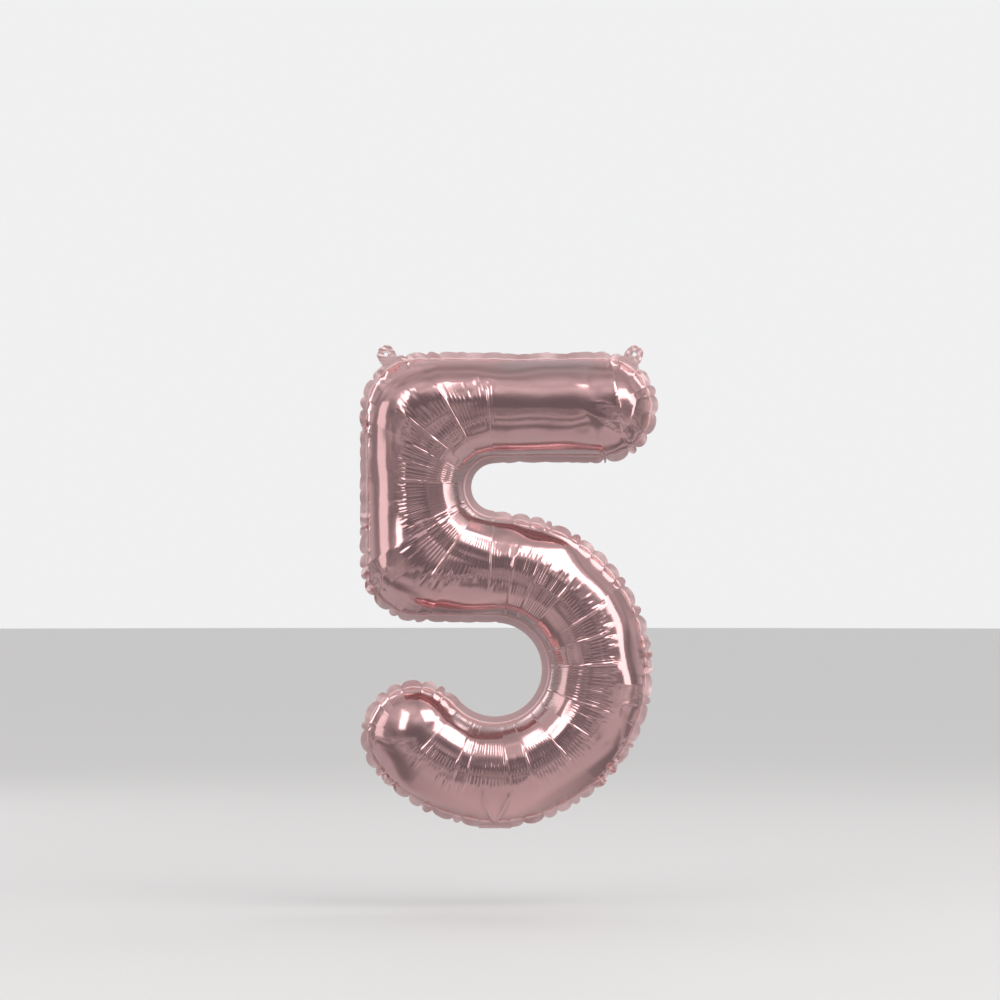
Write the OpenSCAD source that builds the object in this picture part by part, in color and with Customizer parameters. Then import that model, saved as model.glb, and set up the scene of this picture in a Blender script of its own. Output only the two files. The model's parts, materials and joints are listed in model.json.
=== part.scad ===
// Air-filled foil number balloon in the shape of a 5.
// Two sheets of metallised film are heat-welded round the edge and blown up.
// The digit is one tube of even width that follows a bar, a turn and a bowl.
// X runs across the digit, Z runs up it, and the front sheet faces -Y.
// The origin lies midway between the two hanging holes, in the plane of the weld.

/* [Digit] */
// Height from the top welded edge to the bottom one
overall_h = 350; // [292:1:420]
// Width of the inflated tube, weld to weld
tube_w = 71; // [60:1:86]
// Radius of the tube's middle line in the turn behind the upper bay
turn_r = 58.5; // [49:0.5:70]
// Straight run of the top bar, from the turn's axis to the axis of its round end
bar_l = 79; // [60:1:100]
// How far the bowl turns, from the arm to the axis of the hook's round end
bowl_turn = 230; // [190:1:240]
// Rounding of the two square corners, at the weld
corner_r = 38; // [20:1:46]
// Height of each sheet's crown above the weld plane
crown_h = 33; // [24:0.5:40]

/* [Film] */
// Wall of each sheet of metallised film
film_t = 0.2; // [0.1:0.05:0.3]
// Thickness of the melted sealant between the two sheets
weld_t = 0.2; // [0.1:0.05:0.3]
// Width of the flat welded edge
edge_w = 5.5; // [4:0.5:8]

/* [Fill tab and valve] */
// Width of the fill tab
fill_tab_w = 24; // [20:1:30]
// Length of the fill tab
fill_tab_l = 32; // [20:1:38]
// Rounding of the fill tab's free corners
fill_tab_r = 3; // [1:0.5:6]
// Width of the weld along each side of the fill tab
tab_weld_w = 2; // [1:0.5:4]
// Distance from the valve's mouth to the fill tab's free end
mouth_inset = 6; // [3:0.5:10]
// Length of the valve inside the balloon
valve_l = 45; // [30:1:60]

/* [Hanging tabs] */
// Diameter of the hanging holes
hang_hole_d = 3; // [2:0.5:4]
// Width of each hanging tab
hang_tab_w = 13; // [9:0.5:16]
// Distance from the welded edge to the middle of a hanging hole
hang_reach = 4.5; // [4:0.5:8]
// How far the hanging holes lie below the top welded edge
hang_drop = 2; // [0:0.5:6]

/* [Clearances] */
// Gap between each flap and the welded edge when the flap is folded square to it
fold_clearance = 0.15; // [0.1:0.05:0.4]
// Gap between the valve's edges and the welds beside it
valve_gap = 0.1; // [0.05:0.05:0.3]

/* [Hidden] */
$fn = 48;

rose_gold = [0.79, 0.60, 0.60];
clear_film = [0.90, 0.90, 0.92, 0.5];
sealant = [0.85, 0.80, 0.80];

// Steps along the tube and across each half of it
bar_steps = 6;
turn_steps = 30;
bowl_steps = 38;
cap_steps = 14;
crown_steps = 6;

half_w = tube_w / 2;
weld_half = weld_t / 2;
sheet_half = film_t + weld_half;
fold_gap = sheet_half + fold_clearance;
bowl_r = (overall_h - tube_w) / 2 - edge_w - turn_r;
bowl_axis = [0, -turn_r - bowl_r];
bottom_z = bowl_axis[1] - bowl_r - half_w - edge_w;
valve_w = fill_tab_w - 2 * (tab_weld_w + valve_gap);

// The tube's middle line starts at the bar's round end, so these are stations along it.
BAR = 0;
TURN = 1;
BOWL = 2;
stations = concat(
    [for (i = [0 : bar_steps - 1]) [BAR, bar_l * (1 - i / bar_steps)]],
    [for (i = [0 : turn_steps - 1]) [TURN, 90 + 180 * i / turn_steps]],
    [for (i = [0 : bowl_steps]) [BOWL, 90 - bowl_turn * i / bowl_steps]]
);
last_station = len(stations) - 1;

function ray(angle) = [cos(angle), sin(angle)];

// Distance from the turn's axis to the rounded square outside it, out past the weld
function square_reach(angle, out) =
    let (side = turn_r + half_w + out,
         r = corner_r + out,
         core = side - r,
         from_face = abs((angle + 45) % 90 - 45))
    from_face <= atan2(core, side)
        ? side / cos(from_face)
        : core * (cos(from_face) + sin(from_face))
            + sqrt(r * r - core * core * (1 - sin(2 * from_face)));

// The two edges of the tube at a station, a distance out past the weld line
function left_edge(s, out) =
    s[0] == BAR ? [s[1], turn_r - half_w - out]
    : s[0] == TURN ? (turn_r - half_w - out) * ray(s[1])
    : bowl_axis + (bowl_r + half_w + out) * ray(s[1]);
function right_edge(s, out) =
    s[0] == BAR ? [s[1], turn_r + half_w + out]
    : s[0] == TURN ? square_reach(s[1], out) * ray(s[1])
    : bowl_axis + (bowl_r - half_w - out) * ray(s[1]);
function middle(s) = (left_edge(s, 0) + right_edge(s, 0)) / 2;

// One place on the closed edge: its weld point, outer edge, inner wall and station
function edge_place(k, weld_pt, outer_pt, inner_pt) = [weld_pt, outer_pt, inner_pt, k];
function cap_places(k, from_angle) = [
    for (i = [1 : cap_steps - 1])
        let (c = middle(stations[k]), way = ray(from_angle - 180 * i / cap_steps))
        edge_place(k, c + half_w * way, c + (half_w + edge_w) * way, c + (half_w - film_t) * way)
];
edge_loop = concat(
    [for (k = [0 : last_station])
        edge_place(k, left_edge(stations[k], 0), left_edge(stations[k], edge_w),
            left_edge(stations[k], -film_t))],
    cap_places(last_station, 90 - bowl_turn),
    [for (i = [0 : last_station])
        let (k = last_station - i)
        edge_place(k, right_edge(stations[k], 0), right_edge(stations[k], edge_w),
            right_edge(stations[k], -film_t))],
    cap_places(0, 90)
);

// Moves what is drawn about the turn's axis into the part's own frame
corner_core = turn_r + half_w - corner_r;
function hang_side(r) =
    sqrt(pow(r + edge_w + hang_reach, 2) - pow(r + edge_w - hang_drop, 2));
hang_left = [-corner_core - hang_side(corner_r), turn_r + half_w + edge_w - hang_drop];
hang_right = [bar_l + hang_side(half_w), hang_left[1]];
hang_middle = (hang_left + hang_right) / 2;
module in_frame() {
    translate([-hang_middle[0], 0, -hang_middle[1]]) children();
}

// A flat outline in X and Z, given a thickness either side of the weld plane or beside it
module upright(thick, y_mid = 0) {
    translate([0, y_mid, 0]) rotate([90, 0, 0])
        linear_extrude(height = thick, center = true) children();
}

// ---- Inflated sheets ----

function sheet_point(flat_pt, y) = [flat_pt[0], -y, flat_pt[1]];

// Where the sheet stands a share of the way from the weld to the crown
function arch_point(edge_pt, mid_pt, base, crown, share) =
    sheet_point(mid_pt + (edge_pt - mid_pt) * cos(90 * share),
        base + (crown - base) * sin(90 * share));

// One rib of the sheet, from beside the outer crown, round the edge, to beside the inner crown
function rib_points(place) =
    let (mid_pt = middle(stations[place[3]]))
    concat(
        [for (i = [crown_steps - 1 : -1 : 0])
            arch_point(place[0], mid_pt, sheet_half, crown_h, i / crown_steps)],
        [sheet_point(place[1], sheet_half), sheet_point(place[1], weld_half)],
        [for (i = [0 : crown_steps - 1])
            arch_point(place[2], mid_pt, weld_half, crown_h - film_t, i / crown_steps)]
    );

module inflated_sheet() {
    count = len(edge_loop);
    per_rib = 2 * crown_steps + 2;
    crowns = count * per_rib;
    points = concat(
        [for (place = edge_loop) each rib_points(place)],
        [for (s = stations) sheet_point(middle(s), crown_h)],
        [for (s = stations) sheet_point(middle(s), crown_h - film_t)]
    );
    function at(k, q) =
        let (p = k % count)
        q == 0 ? crowns + edge_loop[p][3]
        : q == per_rib + 1 ? crowns + len(stations) + edge_loop[p][3]
        : p * per_rib + q - 1;
    faces = [
        for (k = [0 : count - 1], q = [0 : per_rib])
            let (a = at(k, q), b = at(k + 1, q), c = at(k + 1, q + 1), d = at(k, q + 1))
            each [
                if (a != b) [a, b, c],
                if (c != d) [a, c, d]
            ]
    ];
    polyhedron(points = points, faces = faces);
}

module front_foil() {
    color(rose_gold) in_frame() inflated_sheet();
}

module rear_foil() {
    color(rose_gold) in_frame() mirror([0, 1, 0]) inflated_sheet();
}

// Melted sealant between the sheets, left open where the valve passes
module edge_weld() {
    count = len(edge_loop);
    opening_w = valve_w + 2 * valve_gap;
    color(sealant) in_frame() difference() {
        upright(weld_t)
            polygon(
                points = concat([for (p = edge_loop) p[1]], [for (p = edge_loop) p[2]]),
                paths = [[for (i = [0 : count - 1]) i], [for (i = [0 : count - 1]) count + i]]
            );
        translate([-opening_w / 2, -weld_t, bottom_z - edge_w])
            cube([opening_w, 2 * weld_t, 3 * edge_w]);
    }
}

// ---- Valve inside the balloon ----

// One of the two thin films that air passes between and then presses shut
module valve_film(side) {
    in_frame() upright(weld_half, side * weld_half / 2)
        translate([-valve_w / 2, bottom_z]) square([valve_w, edge_w + valve_l]);
}

module valve_front_film() {
    color(clear_film) valve_film(-1);
}

module valve_rear_film() {
    color(clear_film) valve_film(1);
}

// ---- Fill tab, folded back behind the bowl ----

// Places a flap that is drawn hanging below its fold axis, and folds it back level
module folded_back() {
    in_frame() translate([0, 0, bottom_z]) rotate([90, 0, 0])
        translate([0, 0, -fold_gap]) children();
}

// Outline of a film strip that hangs from z = 0, with its free corners rounded
module strip(w, l, r) {
    translate([-w / 2, r - l]) square([w, l - r]);
    translate([r - w / 2, -l]) square([w - 2 * r, l]);
    for (side = [-1, 1])
        translate([side * (w / 2 - r), r - l]) circle(r);
}

module fill_tab_sheet(side) {
    folded_back() upright(film_t, side * (weld_half + film_t / 2))
        strip(fill_tab_w, fill_tab_l, fill_tab_r);
}

module fill_tab_front() {
    color(rose_gold) fill_tab_sheet(-1);
}

module fill_tab_rear() {
    color(rose_gold) fill_tab_sheet(1);
}

// One of the tab's two side welds, which leave the valve's mouth open between them
module fill_tab_side_weld(side) {
    middle_x = side * (fill_tab_w - tab_weld_w) / 2;
    folded_back() upright(weld_t)
        translate([middle_x - tab_weld_w / 2, fill_tab_r - fill_tab_l])
            square([tab_weld_w, fill_tab_l - fill_tab_r]);
}

module fill_tab_weld_left() {
    color(sealant) fill_tab_side_weld(-1);
}

module fill_tab_weld_right() {
    color(sealant) fill_tab_side_weld(1);
}

module valve_mouth_film(side) {
    folded_back() upright(weld_half, side * weld_half / 2)
        translate([-valve_w / 2, mouth_inset - fill_tab_l])
            square([valve_w, fill_tab_l - mouth_inset]);
}

module valve_mouth_front() {
    color(clear_film) valve_mouth_film(-1);
}

module valve_mouth_rear() {
    color(clear_film) valve_mouth_film(1);
}

// ---- Hanging tabs ----

// A lobe of welded film on a round corner, pointing straight out from the corner's axis
module hang_tab(corner_axis, hole_at) {
    out = hole_at - corner_axis;
    in_frame() translate([hole_at[0], 0, hole_at[1]])
        rotate([0, 90 - atan2(out[1], out[0]), 0])
            upright(2 * sheet_half) difference() {
                union() {
                    circle(d = hang_tab_w);
                    translate([-hang_tab_w / 2, fold_gap - hang_reach])
                        square([hang_tab_w, hang_reach - fold_gap]);
                }
                circle(d = hang_hole_d);
                translate([-hang_tab_w, fold_gap - hang_reach - hang_tab_w])
                    square([2 * hang_tab_w, hang_tab_w]);
            }
}

module hang_tab_left() {
    color(rose_gold) hang_tab([-corner_core, corner_core], hang_left);
}

module hang_tab_right() {
    color(rose_gold) hang_tab([bar_l, turn_r], hang_right);
}

front_foil();
rear_foil();
edge_weld();
valve_front_film();
valve_rear_film();
fill_tab_front();
fill_tab_rear();
fill_tab_weld_left();
fill_tab_weld_right();
valve_mouth_front();
valve_mouth_rear();
hang_tab_left();
hang_tab_right();
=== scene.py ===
import json
import math

import bmesh
import bpy
import numpy as np
from bpy.props import (
    FloatProperty,
    FloatVectorProperty,
    IntProperty,
    PointerProperty,
)
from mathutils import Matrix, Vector


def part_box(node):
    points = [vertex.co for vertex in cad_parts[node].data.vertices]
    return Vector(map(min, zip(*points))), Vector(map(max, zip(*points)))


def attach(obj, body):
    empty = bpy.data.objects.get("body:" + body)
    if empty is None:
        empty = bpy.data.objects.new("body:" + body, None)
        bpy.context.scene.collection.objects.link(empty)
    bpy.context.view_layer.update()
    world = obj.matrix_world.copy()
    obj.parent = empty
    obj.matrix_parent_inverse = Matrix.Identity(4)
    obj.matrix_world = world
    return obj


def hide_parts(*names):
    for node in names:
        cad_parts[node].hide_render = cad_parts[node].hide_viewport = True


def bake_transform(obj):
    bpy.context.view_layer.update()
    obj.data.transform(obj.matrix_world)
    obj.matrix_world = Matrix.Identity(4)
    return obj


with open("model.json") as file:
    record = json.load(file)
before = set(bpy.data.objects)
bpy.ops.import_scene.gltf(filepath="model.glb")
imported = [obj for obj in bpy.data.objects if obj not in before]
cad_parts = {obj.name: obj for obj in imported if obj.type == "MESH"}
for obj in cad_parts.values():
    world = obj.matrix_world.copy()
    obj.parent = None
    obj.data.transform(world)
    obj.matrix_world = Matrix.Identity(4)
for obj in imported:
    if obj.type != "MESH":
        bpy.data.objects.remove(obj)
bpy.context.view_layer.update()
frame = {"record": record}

bl_info = {
    "name": "Foil Number Balloon",
    "version": (1, 0, 0),
    "blender": (4, 5, 0),
    "location": "View3D > Sidebar > Balloon",
    "description": "Makes an air-filled foil balloon in the shape of a 5",
    "category": "Add Mesh",
}

FRONT_LOW, FRONT_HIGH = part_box("front_foil")
JOINTS = {joint["name"]: joint for joint in frame["record"]["behaviour"]["joints"]}
HANG_FOLDS = ("hang_tab_left_fold", "hang_tab_right_fold")
MM = 0.001
TINY = 1e-9


# ---- Sizes and colours that a user would change ----


class BalloonOutline(bpy.types.PropertyGroup):
    """The digit's outline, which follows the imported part"""

    tube_width: FloatProperty(
        name="Tube width", description="Width of the tube from weld to weld",
        default=0.071, unit="LENGTH",
    )
    edge_width: FloatProperty(
        name="Edge width", description="Width of the flat welded edge",
        default=0.0055, unit="LENGTH",
    )
    turn_radius: FloatProperty(
        name="Turn radius", description="Radius of the tube's middle line behind the upper bay",
        default=0.0585, unit="LENGTH",
    )
    bar_length: FloatProperty(
        name="Bar length",
        description="Straight run of the top bar up to the axis of its round end",
        default=0.079, unit="LENGTH",
    )
    bowl_turn: FloatProperty(
        name="Bowl turn", description="How far the bowl turns before its round end",
        default=math.radians(230), subtype="ANGLE",
    )
    corner_radius: FloatProperty(
        name="Corner radius", description="Rounding of the two square corners, at the weld",
        default=0.038, unit="LENGTH",
    )
    crown_height: FloatProperty(
        name="Crown height", description="Height of each sheet above the plane of the weld",
        default=-FRONT_LOW.y, unit="LENGTH",
    )


class FilmPuckers(bpy.types.PropertyGroup):
    """How the film gathers where the flat sheets are too long for the blown-up tube"""

    rib_spacing: FloatProperty(
        name="Rib spacing", description="Spacing of the mesh along the tube where it bends",
        default=0.00058, unit="LENGTH",
    )
    rows: IntProperty(
        name="Rows", description="Rows of the mesh from the crown to the weld",
        default=30,
    )
    border_rows: IntProperty(
        name="Border rows", description="Rows of the mesh from the weld to the cut edge",
        default=4,
    )
    pleat_pitch: FloatProperty(
        name="Pleat pitch", description="Distance between the fine pleats inside each bend",
        default=0.0025, unit="LENGTH",
    )
    pleat_height: FloatProperty(
        name="Pleat height", description="Height of the fine pleats above and below the tube",
        default=0.00026, unit="LENGTH",
    )
    pleat_reach: FloatProperty(
        name="Pleat reach",
        description="How far past the crown the pleats run, as a share of the way to the weld",
        default=0.21, subtype="FACTOR",
    )
    crease_spacing: FloatProperty(
        name="Crease spacing", description="Usual distance between the long creases across a bend",
        default=0.021, unit="LENGTH",
    )
    crease_depth: FloatProperty(
        name="Crease depth", description="Depth of the long creases",
        default=0.0009, unit="LENGTH",
    )
    facet_spacing: FloatProperty(
        name="Facet spacing", description="Usual length of the broad facets outside the pleats",
        default=0.034, unit="LENGTH",
    )
    lobe_pitch: FloatProperty(
        name="Lobe pitch", description="Length of each puckered lobe of the outer edge",
        default=0.0112, unit="LENGTH",
    )
    lobe_depth: FloatProperty(
        name="Lobe depth", description="How far the outer edge is gathered in between its lobes",
        default=0.0042, unit="LENGTH",
    )
    ruffle: FloatProperty(
        name="Ruffle", description="How far the lobes lean to the front or back",
        default=0.0022, unit="LENGTH",
    )
    film: FloatProperty(
        name="Film thickness", description="Thickness of each sheet as drawn",
        default=0.0002, unit="LENGTH",
    )


class BalloonFinish(bpy.types.PropertyGroup):
    """Colours of the film, its sealant and its valve"""

    foil: FloatVectorProperty(
        name="Foil", description="Tint of the metallised film",
        default=(0.77, 0.485, 0.485), subtype="COLOR", min=0, max=1,
    )
    foil_deep: FloatVectorProperty(
        name="Foil, deep", description="Deeper tint in the film's faint mottling",
        default=(0.70, 0.41, 0.415), subtype="COLOR", min=0, max=1,
    )
    border: FloatVectorProperty(
        name="Border",
        description="Tint of the heat-pressed border, where the film is duller and paler",
        default=(0.96, 0.71, 0.71), subtype="COLOR", min=0, max=1,
    )
    # Painted shade: a darker, less saturated tint for the film on the inner side of the tube
    # towards the weld, where the tubes face each other.
    painted_groove_shade: FloatVectorProperty(
        name="Groove",
        description="Tint of the film beside the inner weld, where heat has dulled it",
        default=(0.67, 0.475, 0.475), subtype="COLOR", min=0, max=1,
    )
    sealant: FloatVectorProperty(
        name="Sealant", description="Colour of the melted sealant at the cut edge",
        default=(0.78, 0.66, 0.65), subtype="COLOR", min=0, max=1,
    )
    valve: FloatVectorProperty(
        name="Valve", description="Colour of the clear valve film",
        default=(0.86, 0.88, 0.90), subtype="COLOR", min=0, max=1,
    )


class BalloonStage(bpy.types.PropertyGroup):
    """Floor, lights and camera"""

    floor: FloatVectorProperty(
        name="Floor", description="Colour of the floor",
        default=(0.68, 0.67, 0.66), subtype="COLOR", min=0, max=1,
    )
    floor_gap: FloatProperty(
        name="Floor gap", description="Height of the hanging balloon above the floor",
        default=0.06, unit="LENGTH",
    )
    lens: FloatProperty(
        name="Lens", description="Focal length of the camera",
        default=200, unit="CAMERA",
    )
    view_width: FloatProperty(
        name="View width",
        description="Width of the scene that the camera takes in at the balloon",
        default=0.7345, unit="LENGTH",
    )


# ---- The digit's outline, rib by rib ----


def ramp(low, high, value):
    """Smooth step from 0 at low to 1 at high."""
    share = np.clip((value - low) / (high - low), 0, 1)
    return share * share * (3 - 2 * share)


def fall(low, high, value):
    """Smooth step from 1 at low to 0 at high."""
    return 1 - ramp(low, high, value)


def ray(angle):
    """Unit vector in X and Z, at an angle from the X axis."""
    return np.stack([np.cos(angle), np.sin(angle)], axis=-1)


class Ribs:
    """Ribs across the tube in X and Z, from the bar's round end to the hook's."""

    BAR_SPACING = 2.2  # of the straight bar's ribs, against those in a bend
    TURN_LINE = 0.16  # where the turn's ribs are spaced, in half tubes outside its middle
    BEND_BLEND = 6 * MM
    END_BLEND = 12 * MM

    def __init__(self, outline, spacing):
        self.half = outline.tube_width / 2
        self.turn_radius = outline.turn_radius
        self.corner = outline.corner_radius
        height = FRONT_HIGH.z - FRONT_LOW.z
        both_radii = (height - outline.tube_width) / 2 - outline.edge_width
        self.bowl_radius = both_radii - self.turn_radius
        self.turn_axis = np.array([
            FRONT_HIGH.x - outline.edge_width - self.half - outline.bar_length,
            FRONT_HIGH.z - outline.edge_width - self.half - self.turn_radius,
        ])
        self.bowl_axis = self.turn_axis - [0, self.turn_radius + self.bowl_radius]
        bar_count = round(outline.bar_length / (self.BAR_SPACING * spacing))
        turn_line = self.turn_radius + self.TURN_LINE * self.half
        turn_count = round(math.pi * turn_line / spacing)
        bowl_count = round(outline.bowl_turn * self.bowl_radius / spacing)
        self.along_bar = outline.bar_length * (1 - np.arange(bar_count) / bar_count)
        self.turn_angles = math.pi / 2 + math.pi * np.arange(turn_count) / turn_count
        self.bowl_angles = math.pi / 2 - outline.bowl_turn * np.arange(bowl_count + 1) / bowl_count
        self.in_turn = slice(bar_count, bar_count + turn_count)
        self.middle = self.line(0)
        steps = np.linalg.norm(np.diff(self.middle, axis=0), axis=1)
        self.station = np.concatenate([[0], np.cumsum(steps)])
        bar_end, turn_end = self.station[bar_count], self.station[bar_count + turn_count]
        self.bends = (bar_end, turn_end), (turn_end, self.station[-1])
        blend = self.BEND_BLEND
        to_end = ramp(0, self.END_BLEND, self.station[-1] - self.station)
        self.ends = 1 - to_end * ramp(0, self.END_BLEND, self.station)
        past_turn = ramp(turn_end - blend, turn_end + blend, self.station)
        self.bowl = past_turn * to_end
        self.turn = ramp(bar_end - 2 * blend, bar_end + blend, self.station) * (1 - past_turn)

    def line(self, reach):
        """A line along the digit, a distance to the right of the tube's middle."""
        bar = np.full((len(self.along_bar), 2), self.turn_radius + reach)
        bar[:, 0] = self.along_bar
        turn = (self.turn_radius + reach) * ray(self.turn_angles)
        bowl = (self.bowl_radius - reach) * ray(self.bowl_angles)
        return np.concatenate([bar + self.turn_axis, turn + self.turn_axis, bowl + self.bowl_axis])

    def corner_reach(self, angles, out):
        """Distance from the turn's axis to the rounded square round it, out past the weld."""
        side = self.turn_radius + self.half + out
        radius = self.corner + out
        core = side - radius
        from_face = np.abs((angles + math.pi / 4) % (math.pi / 2) - math.pi / 4)
        rounded = core * (np.cos(from_face) + np.sin(from_face)) + np.sqrt(
            np.maximum(radius ** 2 - core ** 2 * (1 - np.sin(2 * from_face)), 0)
        )
        return np.where(from_face <= math.atan2(core, side), side / np.cos(from_face), rounded)

    def edge(self, side, out):
        """One edge of the tube, a distance out past the weld: side -1 is its left, 1 its right."""
        edge = self.line(side * (self.half + out))
        if side > 0:
            reach = self.corner_reach(self.turn_angles, out)
            edge[self.in_turn] = reach[:, None] * ray(self.turn_angles) + self.turn_axis
        return edge


class EdgeLoop:
    """The digit's closed edge: down its left, round the hook's end, back, round the bar's end."""

    CAP_SPACING = 1.2  # of the places round an end, against the ribs in a bend

    def __init__(self, outline, puckers):
        self.ribs = ribs = Ribs(outline, puckers.rib_spacing)
        count = len(ribs.station)
        cap_count = round(math.pi * ribs.half / (self.CAP_SPACING * puckers.rib_spacing))
        cap_turn = math.pi * np.arange(1, cap_count) / cap_count

        def closed(out):
            reach = ribs.half + out
            hook_end = ribs.middle[-1] + reach * ray(ribs.bowl_angles[-1] - cap_turn)
            bar_end = ribs.middle[0] + reach * ray(math.pi / 2 - cap_turn)
            return np.concatenate([ribs.edge(-1, out), hook_end, ribs.edge(1, out)[::-1], bar_end])

        self.weld = closed(0)
        self.cut = closed(outline.edge_width)
        numbers = np.arange(count)
        ends = np.ones(cap_count - 1, int)
        self.rib = np.concatenate([numbers, ends * (count - 1), numbers[::-1], ends * 0])
        self.on_right = np.arange(len(self.rib)) >= count + cap_count - 1
        self.last_place = 2 * count + cap_count - 2
        self.crown = ribs.middle[self.rib]
        self.station = ribs.station[self.rib]
        steps = np.linalg.norm(np.roll(self.weld, -1, axis=0) - self.weld, axis=1)
        self.length = np.concatenate([[0], np.cumsum(steps)[:-1]])
        self.total = self.length[-1] + steps[-1]

        # How far each place is at a round end, inside a bend, outside one, or beside a straight.
        cap = np.repeat([0.0, 1.0, 0.0, 1.0], [count, cap_count - 1, count, cap_count - 1])
        self.ends = np.maximum(ribs.ends[self.rib], cap)
        turn, bowl = ribs.turn[self.rib] * (1 - cap), ribs.bowl[self.rib] * (1 - cap)
        self.inside = np.where(self.on_right, bowl, turn)
        self.outside = np.where(self.on_right, turn, bowl)
        self.straight = np.clip(1 - self.inside - self.outside - self.ends, 0, 1)
        # How much further the weld is from the crown than along a plain tube.
        self.wide = np.linalg.norm(self.weld - self.crown, axis=1) / ribs.half - 1

    def place(self, rib):
        """Places on the loop of the given ribs, each on its own side of the tube."""
        return np.where(self.on_right, self.last_place - rib, rib)

    def near(self, point, width):
        """1 beside a point of the weld plane, falling to 0 over the given width."""
        away = np.linalg.norm(self.cut - np.array(point), axis=1)
        return fall(0.4 * width, width, away)


# ---- Gathering the film ----


def wander(along, scale, seed):
    """Smooth random numbers of unit size that change over about the given length."""
    # The marks run a few lengths past both ends of the film.
    draws = np.random.default_rng(seed)
    places = np.arange(along.min() - 4 * scale, along.max() + 5 * scale, scale)
    values = draws.normal(size=len(places))
    low = np.clip(((along - places[0]) / scale).astype(int), 0, len(places) - 2)
    share = ramp(0, 1, (along - places[low]) / scale)
    return values[low] * (1 - share) + values[low + 1] * share


class Stretches:
    """Lengths of film between uneven marks, each with random draws of its own."""

    def __init__(self, along, starts_and_ends, spacing, unevenness, seed):
        self.draws = np.random.default_rng(seed)
        marks = []
        for start, end in starts_and_ends:
            count = max(2, round((end - start) / spacing))
            gap = (end - start) / count
            even = start + gap * (np.arange(count) + 0.5)
            marks.append(even + gap * self.draws.uniform(-unevenness, unevenness, count))
        self.marks = np.concatenate(marks)
        self.number = np.searchsorted(self.marks, along)
        borders = np.concatenate([[along.min()], self.marks, [along.max() + TINY]])
        self.start, self.end = borders[self.number], borders[self.number + 1]
        self.share = (along - self.start) / (self.end - self.start + TINY)
        self.from_mark = np.minimum(np.abs(along - self.start), np.abs(self.end - along))

    def draw(self, low, high):
        """A random number for each stretch, given for each place."""
        return self.draws.uniform(low, high, len(self.marks) + 1)[self.number]


# Below, "across" is 0 at the crown of a sheet and 1 at its weld and past it.


def smooth_sheet(loop, outline, rows, border_rows):
    """The tube's smooth surface as a grid: axis, place on the loop, row from crown to cut edge."""
    closer = 0.28  # how much closer together the rows are at the crown and at the weld
    fuller = 1.1  # how much fuller the film is where a corner makes the tube wider
    share = np.arange(rows + 1) / rows
    arch = (math.pi / 2) * (share - closer * np.sin(2 * math.pi * share) / (2 * math.pi))
    crown, weld = loop.crown.T[:, :, None], loop.weld.T[:, :, None]
    flat = crown + (weld - crown) * np.sin(arch)
    out = np.arange(1, border_rows + 1) / border_rows
    border = weld + (loop.cut.T[:, :, None] - weld) * out
    flat = np.concatenate([flat, border], axis=2)
    rise = np.cos(arch) * (1 + fuller * loop.wide[:, None] * np.sin(arch))
    rise = np.concatenate([rise, np.zeros((len(loop.rib), border_rows))], axis=1)
    across = np.concatenate([arch / (math.pi / 2), np.ones(border_rows)])[None]
    return np.stack([flat[0], -outline.crown_height * rise, flat[1]]), across


def outward(points):
    """Unit normals of the front sheet's grid, away from the balloon's middle."""
    along = np.roll(points, -1, axis=1) - np.roll(points, 1, axis=1)
    across = np.gradient(points, axis=2)
    normal = np.cross(across, along, axis=0)
    normal /= np.sqrt((normal * normal).sum(axis=0)) + TINY
    return normal


def facet(points, loop, stretches, pull):
    """Draws the film straight along each stretch of the tube, as far as pull says."""
    ribs = loop.ribs.station
    first = loop.place(np.searchsorted(ribs, stretches.start).clip(0, len(ribs) - 1))
    last = loop.place(np.searchsorted(ribs, stretches.end).clip(0, len(ribs) - 1))
    share = stretches.share[None, :, None]
    chord = points[:, first] * (1 - share) + points[:, last] * share
    return points + (chord - points) * pull


def crumple(along, out, size, seed):
    """Random sharp facets of about the given size, from 0 to 1."""
    draws = np.random.default_rng(seed)
    total = 0
    folds = 5
    for _ in range(folds):
        turn = draws.uniform(0, math.pi)
        wave = (along * math.cos(turn) + out * math.sin(turn)) / (size * draws.uniform(0.7, 1.5))
        total = total + np.abs((wave + draws.uniform()) % 1 - 0.5) * 2
    return total / folds


def fold(sheet, start, end, depth, width):
    """Depth of a straight fold between two points of the weld plane, less towards its ends."""
    run = np.array(end) - start
    from_start = sheet[[0, 2]] - np.array(start)[:, None, None]
    share = np.clip((from_start * run[:, None, None]).sum(axis=0) / (run @ run), 0, 1)
    away = np.sqrt(((from_start - run[:, None, None] * share) ** 2).sum(axis=0))
    return depth * np.exp(-away / width) * np.sin(math.pi * (0.12 + 0.76 * share))


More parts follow.
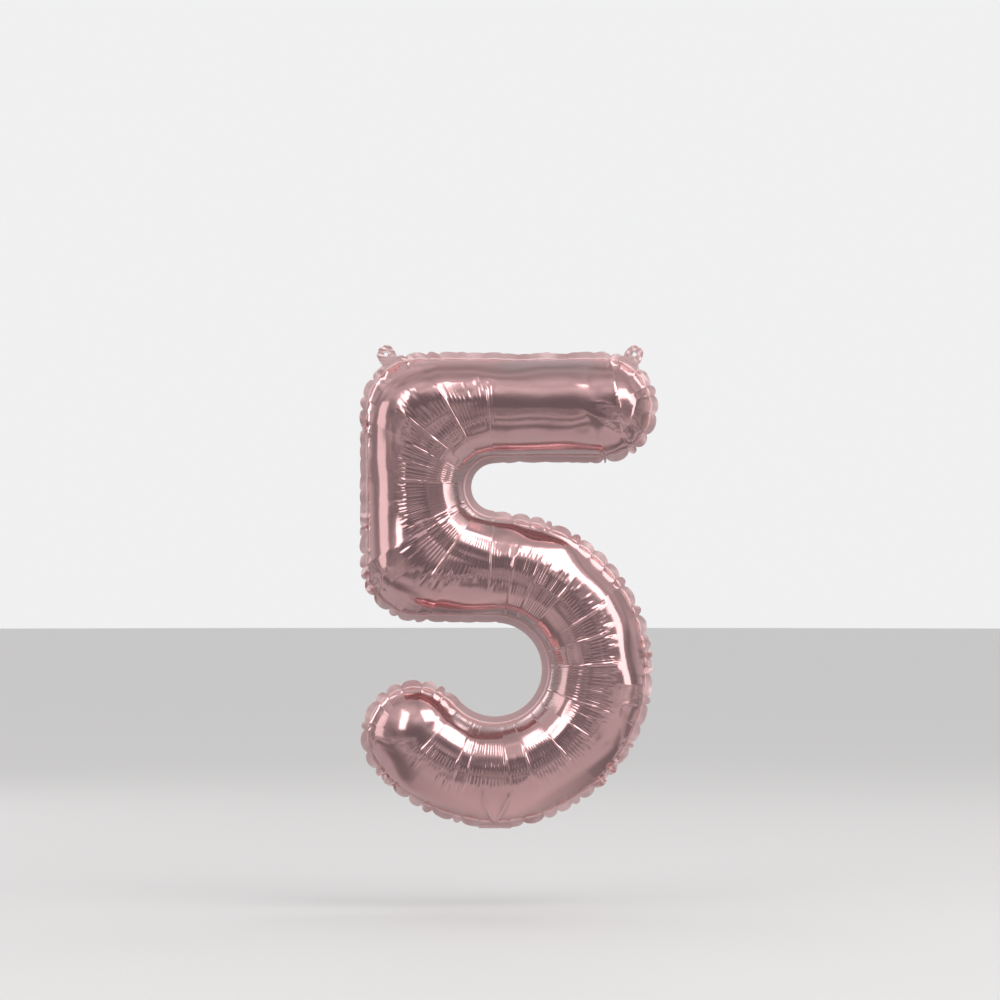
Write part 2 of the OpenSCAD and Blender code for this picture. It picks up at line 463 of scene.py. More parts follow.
def pleat(sheet, across, loop, puckers, seed):
    """Panels, fine pleats, ripples, a lip and long creases inside each bend of one sheet."""
    station, half = loop.station, loop.ribs.half
    run = [(0, loop.ribs.station[-1])]
    panels = Stretches(station, loop.ribs.bends, puckers.crease_spacing, 0.36, seed)
    wave = Stretches(station, run, puckers.pleat_pitch, 0.22, seed + 1)
    facets = Stretches(station, loop.ribs.bends, puckers.facet_spacing, 0.3, seed + 2)
    inside, outside = loop.inside[:, None], loop.outside[:, None]
    on_tube = across < 1
    arch = np.sin(across * math.pi / 2)

    # Each pleat stops at its own length, a little past the crown.
    least_reach = 0.04
    stop = puckers.pleat_reach + panels.draw(-0.03, 0.03) + wave.draw(-0.06, 0.05)
    stop += 0.025 * wander(station, 14 * MM, seed + 3)
    stop = np.maximum(stop, least_reach)[:, None]

    # The film is drawn nearly straight between two creases, and less so further outside.
    straightened = (panels.draw(0.45, 1.0) * 0.9)[:, None]
    pull = inside * fall(0.78, 1.0, across) + outside * fall(stop - 0.12, stop + 0.12, across)
    sheet = facet(sheet, loop, panels, straightened * pull)
    pull = outside * ramp(stop - 0.05, stop + 0.15, across) * fall(0.75, 0.98, across)
    sheet = facet(sheet, loop, facets, facets.draw(0.05, 0.45)[:, None] * pull)
    normal = outward(sheet)

    # Fine pleats, which fade in the calm middle of most panels and crimp beside the weld.
    pleated = panels.draw(0.0, 0.85)[:, None] ** 2
    calm_from = (panels.draw(0.06, 0.26) + wave.draw(-0.05, 0.05))[:, None]
    calm = ramp(calm_from - 0.05, calm_from + 0.06, across) * fall(0.52, 0.66, across)
    held_flat = 1 - 0.55 * ramp(0.88, 1.0, across)
    pleats_in = (1 - (1 - pleated) * calm) * held_flat * on_tube
    crimped = ramp(0.80, 0.90, across) * fall(0.95, 1.0, across) * on_tube
    straight = (loop.straight * (wave.draw(-1.0, 1.0) > 0.1))[:, None]
    reach = inside * pleats_in + (0.5 * inside + 0.7 * straight) * crimped
    reach = reach * (1 - 0.55 * arch) + outside * fall(stop - 0.07, stop + 0.01, across)
    strength = panels.draw(0.6, 1.25) * wave.draw(0.55, 1.3)
    ridge = np.sin(math.pi * wave.share) ** 0.7 - 0.6
    rise = puckers.pleat_height * 1.9 * (strength * ridge)[:, None] * reach

    # Ripples that follow the bend, each panel with its own.
    length = panels.draw(8 * MM, 13 * MM)[:, None]
    ripple = np.sin(2 * math.pi * (half * arch / length + panels.draw(0, 1)[:, None]))
    taper = np.sin(math.pi * panels.share.clip(0, 1))[:, None] ** 0.4
    ripple *= panels.draw(0.1, 0.34)[:, None] * MM * taper
    off_crown = ramp(0.0, 0.1, across)
    reach = inside * off_crown * fall(0.7, 0.85, across)
    reach = reach + outside * off_crown * fall(stop - 0.08, stop, across)
    rise = rise + ripple * reach

    # The gathered film lies lower than the smooth film, which stands over it in a lip.
    lip = 0.42 * MM
    gathered = inside + outside * fall(stop - 0.03, stop + 0.03, across)
    rise = rise - lip * gathered * fall(0.6, 0.9, across)

    # The creases between the panels: a sharp line, with a shallow valley round it.
    line, valley = 0.6 * MM, 3.5 * MM
    crease = np.exp(-panels.from_mark / line) + 0.3 * np.exp(-panels.from_mark / valley)
    reach = inside * pleats_in + outside * fall(stop - 0.08, stop + 0.1, across)
    rise = rise - puckers.crease_depth * (panels.draw(0.6, 1.2) * crease)[:, None] * reach
    return sheet + normal * rise


def gather(loop, outline, puckers, held, seed):
    """One sheet with its pleats, creases, lobes and folds."""
    sheet, across = smooth_sheet(loop, outline, puckers.rows, puckers.border_rows)
    sheet = pleat(sheet, across, loop, puckers, seed)
    normal = outward(sheet)
    on_tube = across < 1

    # Broad unevenness of the straight runs, and of all the film nearer the weld.
    smooth = np.sin(math.pi * across) * on_tube
    uneven = wander(loop.station, 24 * MM, seed + 5)[:, None] * 0.7 * MM
    rise = uneven * (1 - loop.inside[:, None]) * smooth * loop.straight[:, None]
    uneven = 0.9 * MM * wander(loop.length, 26 * MM, seed + 6)[:, None]
    rise = rise + uneven * ramp(0.35, 0.7, across) * smooth

    # Gathers that run in from between the lobes.
    lobes = lobe_marks(loop, puckers)
    reach_in = lobes.draw(0.55, 0.85)[:, None] - 0.22 * loop.ends[:, None]
    depth = np.exp(-lobes.from_mark / (1.1 * MM)) - 0.35 * np.sin(math.pi * lobes.share)
    depth = MM * (depth * lobe_looseness(loop))[:, None]
    rise = rise - depth * ramp(reach_in, 0.97, across) * on_tube

    # Crumpled film beside the crumpled stretches of edge.
    out = np.linalg.norm(loop.weld - loop.crown, axis=1)[:, None] * np.sin(across * math.pi / 2)
    facets = 4.0 * MM * (crumple(loop.length[:, None], out, 5.5 * MM, seed + 7) - 0.5)
    crumpled = (crumpled_places(loop) * (1 - held))[:, None]
    rise = rise - facets * crumpled * ramp(0.70, 0.95, across)

    for start, end, depth, width in folds(loop.ribs):
        rise = rise - fold(sheet, start, end, depth, width) * on_tube
    return sheet + normal * rise, across


def folds(ribs):
    """Start, end, depth and width of the folds at the ends, the pinched bottom and the corners."""
    bar_end, bowl, turn = ribs.middle[0], ribs.bowl_axis, ribs.turn_axis
    pinch = bowl - [0, ribs.bowl_radius + ribs.half]
    # From a place, in half tubes: where it starts and how it runs. Depth and width in mm.
    for place, offset, run, depth, width in (
        (bar_end, (0.15, 1.0), (0.23, -1.6), 1.5, 3.0),
        (bar_end, (0.38, -0.6), (0.33, 0.74), 1.4, 2.4),
        (bar_end, (0.38, -0.6), (-0.78, 0.55), 1.1, 3.0),
        (pinch, (0, 0), (-0.26, 0.54), 3.4, 1.9),
        (pinch, (0, 0), (0.33, 0.60), 3.4, 1.9),
        (bar_end, (-0.25, 0.1), (0.5, -0.08), 0.6, 1.2),
        (bar_end, (-0.30, -0.15), (0.6, -0.16), 0.7, 1.2),
        (bar_end, (-0.05, -0.36), (0.42, -0.14), 0.6, 1.2),
        (bowl, (2.62, -0.72), (0.55, 0.12), 1.0, 2.2),
        (bowl, (2.62, -0.72), (-0.08, -0.6), 0.8, 2.4),
        (turn, (-2.35, -2.2), (0.5, 0.45), 1.0, 3.2),
        (turn, (-2.35, -2.2), (0.15, 0.7), 0.9, 2.8),
    ):
        start = place + ribs.half * np.array(offset)
        yield start, start + ribs.half * np.array(run), depth * MM, width * MM


def hinge_place(joint_name):
    """Where a tab folds, in X and Z."""
    return np.array(JOINTS[joint_name]["pos_m"])[[0, 2]]


def crumpled_places(loop):
    """1 where the film is crumpled: beside the hanging tabs, down the stem and round the bowl."""
    ribs = loop.ribs
    bowl_edge = ribs.bowl_radius + ribs.half
    left = ribs.turn_axis - [ribs.turn_radius + ribs.half, 0]
    crumpled = np.zeros(len(loop.rib))
    for place, width in (
        (ribs.bowl_axis + bowl_edge * ray(math.radians(4)), 17 * MM),
        (ribs.bowl_axis + bowl_edge * ray(math.radians(-42)), 19 * MM),
        (ribs.bowl_axis + bowl_edge * ray(math.radians(-133)), 17 * MM),
        (left + [0, 47 * MM], 13 * MM),
        (left - [0, 26 * MM], 12 * MM),
        (left - [0, 75 * MM], 16 * MM),
        *((hinge_place(name), 22 * MM) for name in HANG_FOLDS),
    ):
        crumpled = np.maximum(crumpled, loop.near(place, width))
    return crumpled


def lobe_marks(loop, puckers):
    """The lobes of the outer edge, the same for both sheets."""
    return Stretches(loop.length, [(0, loop.total)], puckers.lobe_pitch, 0.3, 41)


def lobe_looseness(loop):
    """1 where the outer edge puckers most: round the bowl, the corners and the ends."""
    turn = loop.outside * loop.ribs.turn[loop.rib]
    between_corners = 0.75 * turn * fall(0.08, 0.3, loop.wide)
    return np.clip(loop.outside - between_corners + loop.ends + 0.2 * loop.straight, 0, 1)


def shape_edge(sheet, across, loop, puckers, held):
    """Shapes the welded edge that both sheets share: lobes, ruffle and crumples."""
    free = 1 - held
    loose = lobe_looseness(loop) * free
    lobes = lobe_marks(loop, puckers)
    at_weld = 0.45  # the part of the edge's shape that is there at the weld
    past_weld = np.arange(1, puckers.border_rows + 1) / puckers.border_rows
    out = np.concatenate([
        at_weld * ramp(0.8, 1.0, across[0, : puckers.rows + 1]),
        at_weld + (1 - at_weld) * past_weld,
    ])[None]

    inward = (loop.crown - loop.weld) / np.linalg.norm(loop.crown - loop.weld, axis=1)[:, None]
    bow = 1 - np.sqrt(1 - 0.94 * (2 * lobes.share - 1) ** 2)
    drawn_in = (puckers.lobe_depth * loose * lobes.draw(0.7, 1.3) * bow)[:, None] * out
    waves = np.clip(loop.straight + 0.4 * loop.outside, 0, 1) * free
    drawn_in += (1.1 * MM * waves * np.abs(wander(loop.length, 15 * MM, 45)))[:, None] * out
    sheet[0] += inward[:, :1] * drawn_in
    sheet[2] += inward[:, 1:] * drawn_in

    lean = lobes.draw(-0.7, 1.0) * np.sin(math.pi * lobes.share) * loose
    lean = lean + 0.5 * wander(loop.length, 9 * MM, 47) * waves
    facets = crumple(loop.length[:, None], 7 * MM * out, 4.5 * MM, 49) - 0.5
    sharp = 0.5 * loose + 2.2 * crumpled_places(loop) * free
    sheet[1] += puckers.ruffle * (lean[:, None] + facets * sharp[:, None]) * out ** 1.5


def share_crown(points, loop):
    """Gives the two sides of each rib, and every rib of a round end, one crown point."""
    places = np.bincount(loop.rib)
    for axis in range(3):
        total = np.bincount(loop.rib, weights=points[axis, :, 0])
        points[axis, :, 0] = (total / places)[loop.rib]


def both_sheets(loop, outline, puckers):
    """The front and rear sheets as grids of points, and where shade is painted on the film towards
    the weld, which also makes it duller.
    """
    held = loop.near(hinge_place("fill_tab_fold"), 24 * MM)
    for name in HANG_FOLDS:
        held = np.maximum(held, loop.near(hinge_place(name), 12 * MM))
    from_middle = 0.75 * puckers.film
    sheets = []
    for seed, facing in ((11, -1), (211, 1)):
        sheet, across = gather(loop, outline, puckers, held, seed)
        share_crown(sheet, loop)
        sheet[1] *= -facing
        shape_edge(sheet, across, loop, puckers, held)
        sheet[1] += facing * from_middle
        sheets.append(sheet)
    # Painted shade: from past the crown to the weld, on the inner side of the bends and along the
    # straight runs.
    inner_side = np.clip(loop.inside + loop.straight, 0, 1)[:, None]
    return sheets, ramp(0.36, 0.62, across) * (across < 1) * inner_side


# ---- Materials ----


class Nodes:
    """Adds nodes to a material or a world and links them in one call each."""

    def __init__(self, owner):
        owner.use_nodes = True
        self.owner = owner
        self.tree = owner.node_tree

    def link(self, node, name, value):
        """Links an input to a socket, or sets it to a number or a colour."""
        socket = node.inputs[name]
        if isinstance(value, bpy.types.NodeSocket):
            self.tree.links.new(value, socket)
        elif socket.type == "RGBA":
            socket.default_value = (*value, 1)
        else:
            socket.default_value = value

    def add(self, kind, links=None, **settings):
        """A node with those settings, and its inputs linked or set by name or number."""
        node = self.tree.nodes.new(kind)
        for name, value in settings.items():
            setattr(node, name, value)
        for name, value in (links or {}).items():
            self.link(node, name, value)
        return node

    def noise(self, scale, detail, space="Object"):
        """Soft noise, in the object's own coordinates unless space says otherwise."""
        place = self.add("ShaderNodeTexCoord").outputs[space]
        inputs = {"Vector": place, "Scale": scale, "Detail": detail}
        return self.add("ShaderNodeTexNoise", inputs).outputs["Fac"]

    def spread(self, value, source, target=(0.0, 1.0), kind="LINEAR"):
        """A value brought from one range to another."""
        inputs = {"Value": value, "From Min": source[0], "From Max": source[1],
                  "To Min": target[0], "To Max": target[1]}
        return self.add("ShaderNodeMapRange", inputs, interpolation_type=kind).outputs["Result"]

    def mix(self, factor, first, second):
        """A colour between two, the first at 0 and the second at 1."""
        inputs = {"Factor": factor, "A": first, "B": second}
        return self.add("ShaderNodeMix", inputs, data_type="RGBA").outputs["Result"]

    def compute(self, operation, *values):
        """The result of an arithmetic operation."""
        inputs = dict(enumerate(values))
        return self.add("ShaderNodeMath", inputs, operation=operation).outputs["Value"]

    def shade(self, **values):
        """Sets the inputs of the material's shader and gives the material."""
        for name, value in values.items():
            self.link(self.tree.nodes["Principled BSDF"], name.replace("_", " "), value)
        return self.owner


def foil_material(finish):
    """Metallised film: a tinted mirror, faintly mottled and grained, with a duller border and
    painted shade towards the inner weld.
    """
    nodes = Nodes(bpy.data.materials.new("metallised_film"))
    surface = nodes.add("ShaderNodeUVMap", uv_map="film")
    split = nodes.add("ShaderNodeSeparateXYZ", {"Vector": surface.outputs["UV"]})
    border = nodes.spread(split.outputs["Y"], (0.98, 1.01))
    painted_groove_shade = nodes.add("ShaderNodeAttribute", attribute_name="painted_groove_shade").outputs["Fac"]
    tint = nodes.mix(nodes.noise(26.0, 4.0), finish.foil, finish.foil_deep)
    # Painted shade: a darker, less saturated tint towards the inner weld, where the tubes face
    # each other.
    tint = nodes.mix(painted_groove_shade, tint, finish.painted_groove_shade)
    tint = nodes.mix(border, tint, finish.border)
    dull = nodes.spread(nodes.noise(900.0, 3.0), (0.3, 0.7), (0.11, 0.17))
    dull = nodes.compute("MULTIPLY_ADD", border, 0.42, dull)
    dull = nodes.compute("MULTIPLY_ADD", painted_groove_shade, 0.06, dull)
    ripple = {"Height": nodes.noise(150.0, 2.0), "Strength": 0.12, "Distance": 0.6 * MM}
    bump = nodes.add("ShaderNodeBump", ripple).outputs["Normal"]
    return nodes.shade(Base_Color=tint, Metallic=1.0, Roughness=dull, Normal=bump)


def sealant_material(finish):
    """Milky melted sealant that shows as a hairline between the two films."""
    nodes = Nodes(bpy.data.materials.new("melted_sealant"))
    cloud = nodes.noise(300.0, 3.0)
    tint = nodes.mix(cloud, finish.sealant, [0.85 * channel for channel in finish.sealant])
    dull = nodes.spread(cloud, (0.3, 0.7), (0.25, 0.4))
    return nodes.shade(Base_Color=tint, Roughness=dull)


def valve_material(finish):
    """Thin clear film with a faint haze."""
    nodes = Nodes(bpy.data.materials.new("clear_valve_film"))
    dull = nodes.spread(nodes.noise(220.0, 3.0), (0.3, 0.7), (0.12, 0.26))
    return nodes.shade(Base_Color=finish.valve, Roughness=dull, Alpha=0.45)


MAKERS = {
    "rose_gold_foil": foil_material,
    "sealant": sealant_material,
    "valve_film": valve_material,
}
MADE = {}


def material(slot_name):
    """The finish of that slot, made once."""
    if slot_name not in MADE:
        MADE[slot_name] = MAKERS[slot_name](bpy.context.scene.balloon_finish)
    return MADE[slot_name]


# ---- Pieces ----


def film_mesh(points, lengths, weld_row=0, painted_groove_shade=None, closed=True):
    """A film from a grid of points, with a UV map that follows it.

    The grid is closed round its first direction unless closed is False. The UV map's second
    number is 0 at the crown and passes 1 where the heat-pressed border begins, and with no weld
    row the whole film is border. The painted groove shade, if given, is how much shade is painted
    on the film at each point, which also makes it duller."""
    count, rows = points.shape[1:]
    ring = np.append(np.arange(count), 0) if closed else np.arange(count)
    built = bmesh.new()
    bmesh.ops.create_grid(built, x_segments=len(ring) - 1, y_segments=rows - 1, size=1)
    mesh = bpy.data.meshes.new("film")
    built.to_mesh(mesh)
    mesh.vertices.foreach_set("co", points[:, ring].transpose(2, 1, 0).ravel())
    layer = mesh.uv_layers.new(name="film")
    corner = np.empty(len(mesh.loops), int)
    mesh.loops.foreach_get("vertex_index", corner)
    row, column = np.divmod(corner, len(ring))
    share = row / weld_row if weld_row else 1 + row / rows
    layer.data.foreach_set("uv", np.stack([lengths[column], share], axis=-1).ravel())
    if painted_groove_shade is not None:
        # Painted shade: this layer says how much shade is painted on the film at each point, and
        # how much rougher it is.
        dulled = mesh.attributes.new("painted_groove_shade", "FLOAT", "POINT")
        dulled.data.foreach_set("value", painted_groove_shade[ring].T.ravel())
    built.clear()
    built.from_mesh(mesh)
    bpy.data.meshes.remove(mesh)
    bmesh.ops.remove_doubles(built, verts=built.verts, dist=1e-7)
    return built


def ring_solid(front, rear, lengths):
    """A closed ring with a front and a rear face, each a grid of points."""
    return film_mesh(np.concatenate([front, rear[:, :, ::-1], front[:, :, :1]], axis=2), lengths)


def add_piece(name, built, slot_name, nodes, closed=False):
    """Turns a bmesh into a shown object with its finish, in place of those CAD nodes.

    The faces of a closed one are turned outwards."""
    if closed:
        bmesh.ops.recalc_face_normals(built, faces=built.faces)
    mesh = bpy.data.meshes.new(name)
    built.to_mesh(mesh)
    built.free()
    mesh.shade_smooth()
    piece = bpy.data.objects.new(name, mesh)
    bpy.context.collection.objects.link(piece)
    mesh.materials.append(material(slot_name))
    for node in nodes:
        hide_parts(node)
    return piece


class BALLOON_OT_sheets(bpy.types.Operator):
    """Make the two blown-up sheets and the sealant between their edges"""

    bl_idname = "balloon.sheets"
    bl_label = "Sheets"

    SEAL_PAST_CUT = 0.12 * MM
    SEAL_DEPTH = 0.65  # half the seal's thickness, against the film's

    def execute(self, context):
        scene = context.scene
        outline, puckers = scene.balloon_outline, scene.balloon_puckers
        loop = EdgeLoop(outline, puckers)
        lengths = np.append(loop.length, loop.total)
        (front, rear), painted_groove_shade = both_sheets(loop, outline, puckers)
        front_film = film_mesh(front, lengths, puckers.rows, painted_groove_shade)
        rear_film = film_mesh(rear, lengths, puckers.rows, painted_groove_shade)
        bmesh.ops.reverse_faces(rear_film, faces=rear_film.faces)
        edge = (front + rear)[:, :, -2:] / 2
        run = edge[:, :, 1] - edge[:, :, 0]
        edge[:, :, 1] += run / np.linalg.norm(run, axis=0) * self.SEAL_PAST_CUT
        depth = np.array([0, self.SEAL_DEPTH * puckers.film, 0])[:, None, None]
        seal = ring_solid(edge - depth, edge + depth, lengths)
        for piece in (
            add_piece("front_sheet", front_film, "rose_gold_foil", ["front_foil"]),
            add_piece("rear_sheet", rear_film, "rose_gold_foil", ["rear_foil"]),
            add_piece("edge_seal", seal, "sealant", ["edge_weld"], closed=True),
        ):
            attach(piece, "balloon")
        return {"FINISHED"}


class BALLOON_OT_hanging_tabs(bpy.types.Operator):
    """Make the two crumpled tabs with a punched hole that the balloon hangs by"""

    bl_idname = "balloon.hanging_tabs"
    bl_label = "Hanging tabs"

    AROUND = 132
    RINGS = 14
    WIDTH = 13.0 * MM
    HOLE_RADIUS = 1.5 * MM
    REACH = 4.5 * MM  # from the fold to the hole's middle
    LAP = 2.6 * MM  # over the balloon's edge, past the fold
    HALF_THICKNESS = 0.25 * MM
    CRUMPLE = 2.6 * MM  # height of the sharp facets

    def execute(self, context):
        for seed, joint_name in enumerate(HANG_FOLDS):
            joint = JOINTS[joint_name]
            hinge, axis = Vector(joint["pos_m"]), Vector(joint["axis"])
            out = axis.cross(Vector((0, 1, 0))).normalized()
            out = out if out.z > 0 else -out
            node = joint_name.removesuffix("_fold")
            name = node.replace("hang_tab", "hanging_tab")
            built = self.film(hinge + out * self.REACH, out, seed)
            piece = add_piece(name, built, "rose_gold_foil", [node], closed=True)
            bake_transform(piece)
        return {"FINISHED"}

    def film(self, hole, out, seed):
        """The crumpled tab round its hole, which reaches back over the balloon's edge."""
        around = 2 * math.pi * np.arange(self.AROUND) / self.AROUND
        length = around * self.WIDTH / 2
        share = np.arange(self.RINGS + 1) / self.RINGS
        inward = np.clip(-np.cos(around), TINY, 1)
        edge = self.WIDTH / 2 * (1 + 0.22 * ramp(0, 0.7, inward))
        edge = np.minimum(edge, (self.REACH + self.LAP) / inward)
        frayed = 0.05 * wander(length, 2.4 * MM, seed + 60)
        edge = edge * (1 + frayed * ramp(-0.2, 0.3, np.cos(around)))
        radius = self.HOLE_RADIUS + (edge[:, None] - self.HOLE_RADIUS) * share
        forward = radius * np.cos(around)[:, None]
        sideways = radius * np.sin(around)[:, None]
        free = ramp(-self.REACH, -0.2 * self.REACH, forward)
        facets = crumple(forward + 0.3 * sideways, sideways, 4.2 * MM, seed + 70)
        height = (facets - 0.5) * self.CRUMPLE
        height += 0.5 * MM * np.sin(sideways / (2.2 * MM))
        height *= free * (0.35 + 0.65 * share)
        side = Vector((out.z, 0, -out.x))
        points = np.stack([
            hole.x + forward * out.x + sideways * side.x,
            height,
            hole.z + forward * out.z + sideways * side.z,
        ])
        depth = np.array([0, self.HALF_THICKNESS, 0])[:, None, None]
        lengths = np.append(length, math.pi * self.WIDTH)
        return ring_solid(points - depth, points + depth, lengths)


class BALLOON_OT_filling_tab(bpy.types.Operator):
    """Make the two films of the tab that the straw goes into, folded back under the balloon"""

    bl_idname = "balloon.filling_tab"
    bl_label = "Filling tab"

    ACROSS = 61
    ALONG = 96
    LAP = 3.0 * MM  # up between the balloon's sheets, past the fold
    SIDE_WELD = 2.0 * MM
    GAP = 0.2 * MM  # from the tab's middle to each film
    SLACK = 0.16 * MM  # how far each film bulges between the side welds
    MOUTH = 0.9 * MM  # how far each film stands open at the mouth
    CURL = 0.8 * MM  # how far the tab curls along its length
    ROOT = 3 * MM  # how far past the fold the films part fully
    THICKNESS = 0.7  # against the sheets' film

    def execute(self, context):
        puckers = context.scene.balloon_puckers
        hinge = Vector(JOINTS["fill_tab_fold"]["pos_m"])
        for seed, (name, node, side) in enumerate((
            ("filling_tab_front", "fill_tab_front", -1),
            ("filling_tab_rear", "fill_tab_rear", 1),
        )):
            low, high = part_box(node)
            built = self.film(hinge, low, high, side, seed, puckers.film)
            piece = add_piece(name, built, "rose_gold_foil", [node], closed=True)
            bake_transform(piece)
        return {"FINISHED"}

    def film(self, hinge, low, high, side, seed, thickness):
        """One film, pressed flat at its sides, slack between them and open at its mouth."""
        width, length = high.x - low.x, high.y
        across = np.linspace(0, width, self.ACROSS)[:, None]
        along = np.linspace(-self.LAP, length, self.ALONG)[None]
        from_side = np.minimum(across, width - across)
        turned = ramp(-self.GAP, 2 * self.GAP, along)
        loose = ramp(0.8 * self.SIDE_WELD, 2.2 * self.SIDE_WELD, from_side)
        mouth = ramp(0.72 * length, length, along)
        slack = wander(along[0], 2.6 * MM, seed + 80)[None] * wander(across, 3 * MM, 82)
        slack = np.abs(self.SLACK * slack) * loose
        pressed = 0.05 * MM * np.sin(along * 2 * math.pi / (0.9 * MM)) * (1 - loose)
        opened = self.MOUTH * mouth * loose ** 2 * np.sin(math.pi * across / width)
        out = self.GAP + slack + pressed + opened
        out = out * ramp(0, self.ROOT, along) + self.GAP * fall(0, self.ROOT, along)
        curl = self.CURL * ramp(0.3 * length, length, along) * np.sin(along / length * 3.1)
        points = np.stack(np.broadcast_arrays(
            low.x + across,
            hinge.y + np.maximum(along, 0) + side * self.GAP * (1 - turned),
            hinge.z + np.maximum(-along, 0) + (side * out - curl) * turned,
        ))
        built = film_mesh(points, across[:, 0], closed=False)
        bmesh.ops.recalc_face_normals(built, faces=built.faces)
        bmesh.ops.solidify(built, geom=built.faces, thickness=self.THICKNESS * thickness)
        return built


class BALLOON_OT_valve(bpy.types.Operator):
    """Finish the valve films and the tab's side welds, which keep their built shapes"""

    bl_idname = "balloon.valve"
    bl_label = "Valve"

    FINISHES = {
        "fill_tab_weld_left": "sealant",
        "fill_tab_weld_right": "sealant",
        "valve_front_film": "valve_film",
        "valve_rear_film": "valve_film",
        "valve_mouth_front": "valve_film",
        "valve_mouth_rear": "valve_film",
    }

    def execute(self, context):
        for node, slot_name in self.FINISHES.items():
            materials = bpy.data.objects[node].data.materials
            materials.clear()
            materials.append(material(slot_name))
        return {"FINISHED"}


# ---- Stage ----


def studio_world():
    """A pale room, whose reflection in the film is darker in front and paler behind."""
    nodes = Nodes(bpy.data.worlds.new("studio"))
    plain = nodes.tree.nodes["Background"]
    nodes.link(plain, "Color", (0.95, 0.95, 0.96))
    nodes.link(plain, "Strength", 0.92)

    place = nodes.add("ShaderNodeTexCoord").outputs["Generated"]
    split = nodes.add("ShaderNodeSeparateXYZ", {"Vector": place}).outputs
    bands = nodes.add("ShaderNodeValToRGB", {"Fac": nodes.spread(split["Z"], (-1.0, 1.0))})
    stops = bands.color_ramp.elements
    for share, grey in ((0.48, 0.34), (0.56, 0.30), (0.70, 0.44), (0.79, 0.70), (0.90, 0.66)):
        stops.new(share).color = (grey, grey, 1.02 * grey, 1)
    stops[0].color = (0.4, 0.4, 0.4, 1)
    stops[-1].color = (0.5, 0.5, 0.5, 1)

    behind = nodes.spread(split["Y"], (0.1, 0.85), kind="SMOOTHSTEP")
    room = nodes.mix(behind, bands.outputs["Color"], (0.66, 0.65, 0.66))
    uneven = nodes.spread(nodes.noise(2.4, 1.5, "Generated"), (0.3, 0.7), (0.55, 1.2))
    room = nodes.add("ShaderNodeVectorMath", {0: room, "Scale": uneven}, operation="SCALE")
    in_front = nodes.spread(split["Y"], (-0.82, -0.995), kind="SMOOTHSTEP")
    room = nodes.mix(in_front, room.outputs["Vector"], (0.19, 0.19, 0.20))

    reflected = nodes.add("ShaderNodeBackground", {"Color": room}).outputs["Background"]
    glossy = nodes.add("ShaderNodeLightPath").outputs["Is Glossy Ray"]
    shown = nodes.add(
        "ShaderNodeMixShader", {"Fac": glossy, 1: plain.outputs["Background"], 2: reflected},
    )
    nodes.link(nodes.tree.nodes["World Output"], "Surface", shown.outputs["Shader"])
    return nodes.owner


def floor_material(stage):
    """Pale floor, whose reflection in the film is dimmer away from the balloon."""
    nodes = Nodes(bpy.data.materials.new("floor"))
    place = nodes.add("ShaderNodeTexCoord").outputs["Object"]
    away = nodes.add("ShaderNodeVectorMath", {0: place}, operation="LENGTH").outputs["Value"]
    glossy = nodes.add("ShaderNodeLightPath").outputs["Is Glossy Ray"]
    away = nodes.spread(away, (-0.05, 0.22), kind="SMOOTHSTEP")
    patches = nodes.spread(nodes.noise(3.6, 1.5), (0.40, 0.58), (0.17, 0.48), "SMOOTHSTEP")
    tone = nodes.mix(nodes.compute("MULTIPLY", away, glossy), stage.floor, patches)
    return nodes.shade(Base_Color=tone, Roughness=0.6)


AIM = Vector((-0.0075, 0, -0.107))  # the middle of the view
# Name, turn to the right and lift in degrees, distance and size in metres, radiance.
LIGHTS = (
    ("right_front", 38, 42, 1.7, (0.95, 0.8), 2.3),
    ("right_upper", 62, 28, 1.7, (0.5, 0.5), 1.8),
    ("left_front", -34, 29, 1.8, (0.48, 1.25), 2.0),
    ("right_side", 75, 6, 1.6, (0.5, 1.2), 1.6),
    ("left_side", -80, 4, 1.6, (0.8, 1.2), 0.8),
    ("left_back", 214, 20, 1.8, (0.45, 1.2), 1.5),
    ("right_back", 142, 36, 1.8, (0.9, 0.7), 1.4),
)


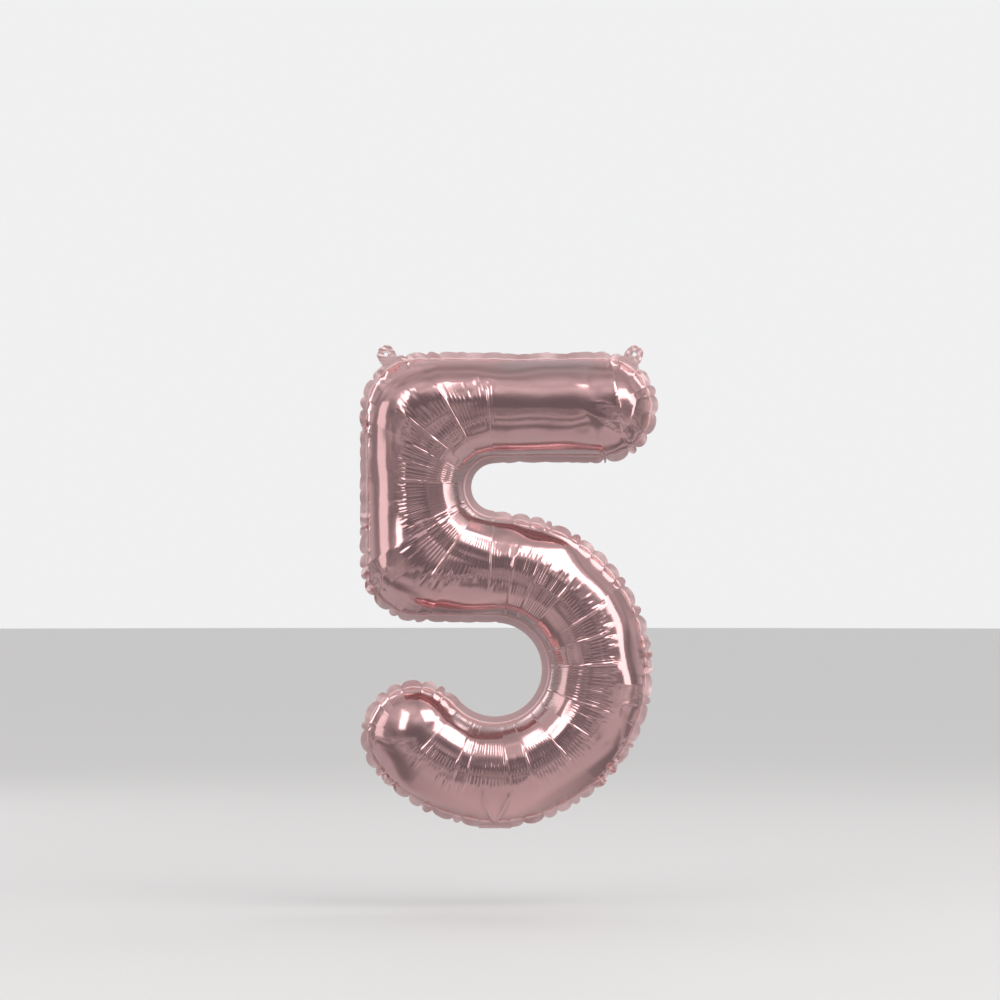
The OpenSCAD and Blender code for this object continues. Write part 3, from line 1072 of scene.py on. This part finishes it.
class BALLOON_OT_stage(bpy.types.Operator):
    """Make the floor, the lights and the camera"""

    bl_idname = "balloon.stage"
    bl_label = "Stage"

    FLOOR_RADIUS = 9

    def execute(self, context):
        scene = context.scene
        stage = scene.balloon_stage
        built = bmesh.new()
        bmesh.ops.create_circle(built, cap_ends=True, segments=96, radius=self.FLOOR_RADIUS)
        mesh = bpy.data.meshes.new("floor")
        built.to_mesh(mesh)
        built.free()
        floor = bpy.data.objects.new("floor", mesh)
        floor.location.z = FRONT_LOW.z - stage.floor_gap
        scene.collection.objects.link(floor)
        mesh.materials.append(floor_material(stage))
        scene.world = studio_world()
        scene.view_settings.view_transform = "Standard"

        for name, turn, lift, distance, size, radiance in LIGHTS:
            light = bpy.data.lights.new(name, "AREA")
            light.shape = "RECTANGLE"
            light.size, light.size_y = size
            light.energy = radiance * math.pi * light.size * light.size_y
            lamp = bpy.data.objects.new(name, light)
            turn, lift = math.radians(turn), math.radians(lift)
            level = distance * math.cos(lift)
            rise = distance * math.sin(lift)
            run = Vector((level * math.sin(turn), -level * math.cos(turn), rise))
            lamp.location = AIM + run
            lamp.rotation_euler = (-run).to_track_quat("-Z", "Y").to_euler()
            scene.collection.objects.link(lamp)

        lens = bpy.data.cameras.new("camera")
        lens.lens = stage.lens
        camera = bpy.data.objects.new("camera", lens)
        distance = stage.view_width * stage.lens / lens.sensor_width
        camera.location = AIM + Vector((0, -distance, 0))
        camera.rotation_euler = (math.pi / 2, 0, 0)
        scene.collection.objects.link(camera)
        scene.camera = camera
        return {"FINISHED"}


class BALLOON_PT_panel(bpy.types.Panel):
    """Lists the balloon's operators and sizes"""

    bl_idname = "BALLOON_PT_panel"
    bl_label = "Foil Number Balloon"
    bl_space_type = "VIEW_3D"
    bl_region_type = "UI"
    bl_category = "Balloon"

    def draw(self, context):
        for operator in OPERATORS:
            self.layout.operator(operator.bl_idname)
        for name, group in GROUPS.items():
            box = self.layout.box()
            for key in group.__annotations__:
                box.prop(getattr(context.scene, name), key)


GROUPS = {
    "balloon_outline": BalloonOutline,
    "balloon_puckers": FilmPuckers,
    "balloon_finish": BalloonFinish,
    "balloon_stage": BalloonStage,
}
OPERATORS = (
    BALLOON_OT_sheets,
    BALLOON_OT_hanging_tabs,
    BALLOON_OT_filling_tab,
    BALLOON_OT_valve,
    BALLOON_OT_stage,
)
CLASSES = (*GROUPS.values(), *OPERATORS, BALLOON_PT_panel)


def register():
    for kind in CLASSES:
        bpy.utils.register_class(kind)
    for name, group in GROUPS.items():
        setattr(bpy.types.Scene, name, PointerProperty(type=group))


def unregister():
    for name in GROUPS:
        delattr(bpy.types.Scene, name)
    for kind in reversed(CLASSES):
        bpy.utils.unregister_class(kind)


def main():
    register()
    bpy.ops.balloon.sheets()
    bpy.ops.balloon.hanging_tabs()
    bpy.ops.balloon.filling_tab()
    bpy.ops.balloon.valve()
    bpy.ops.balloon.stage()


if __name__ == "__main__":
    main()
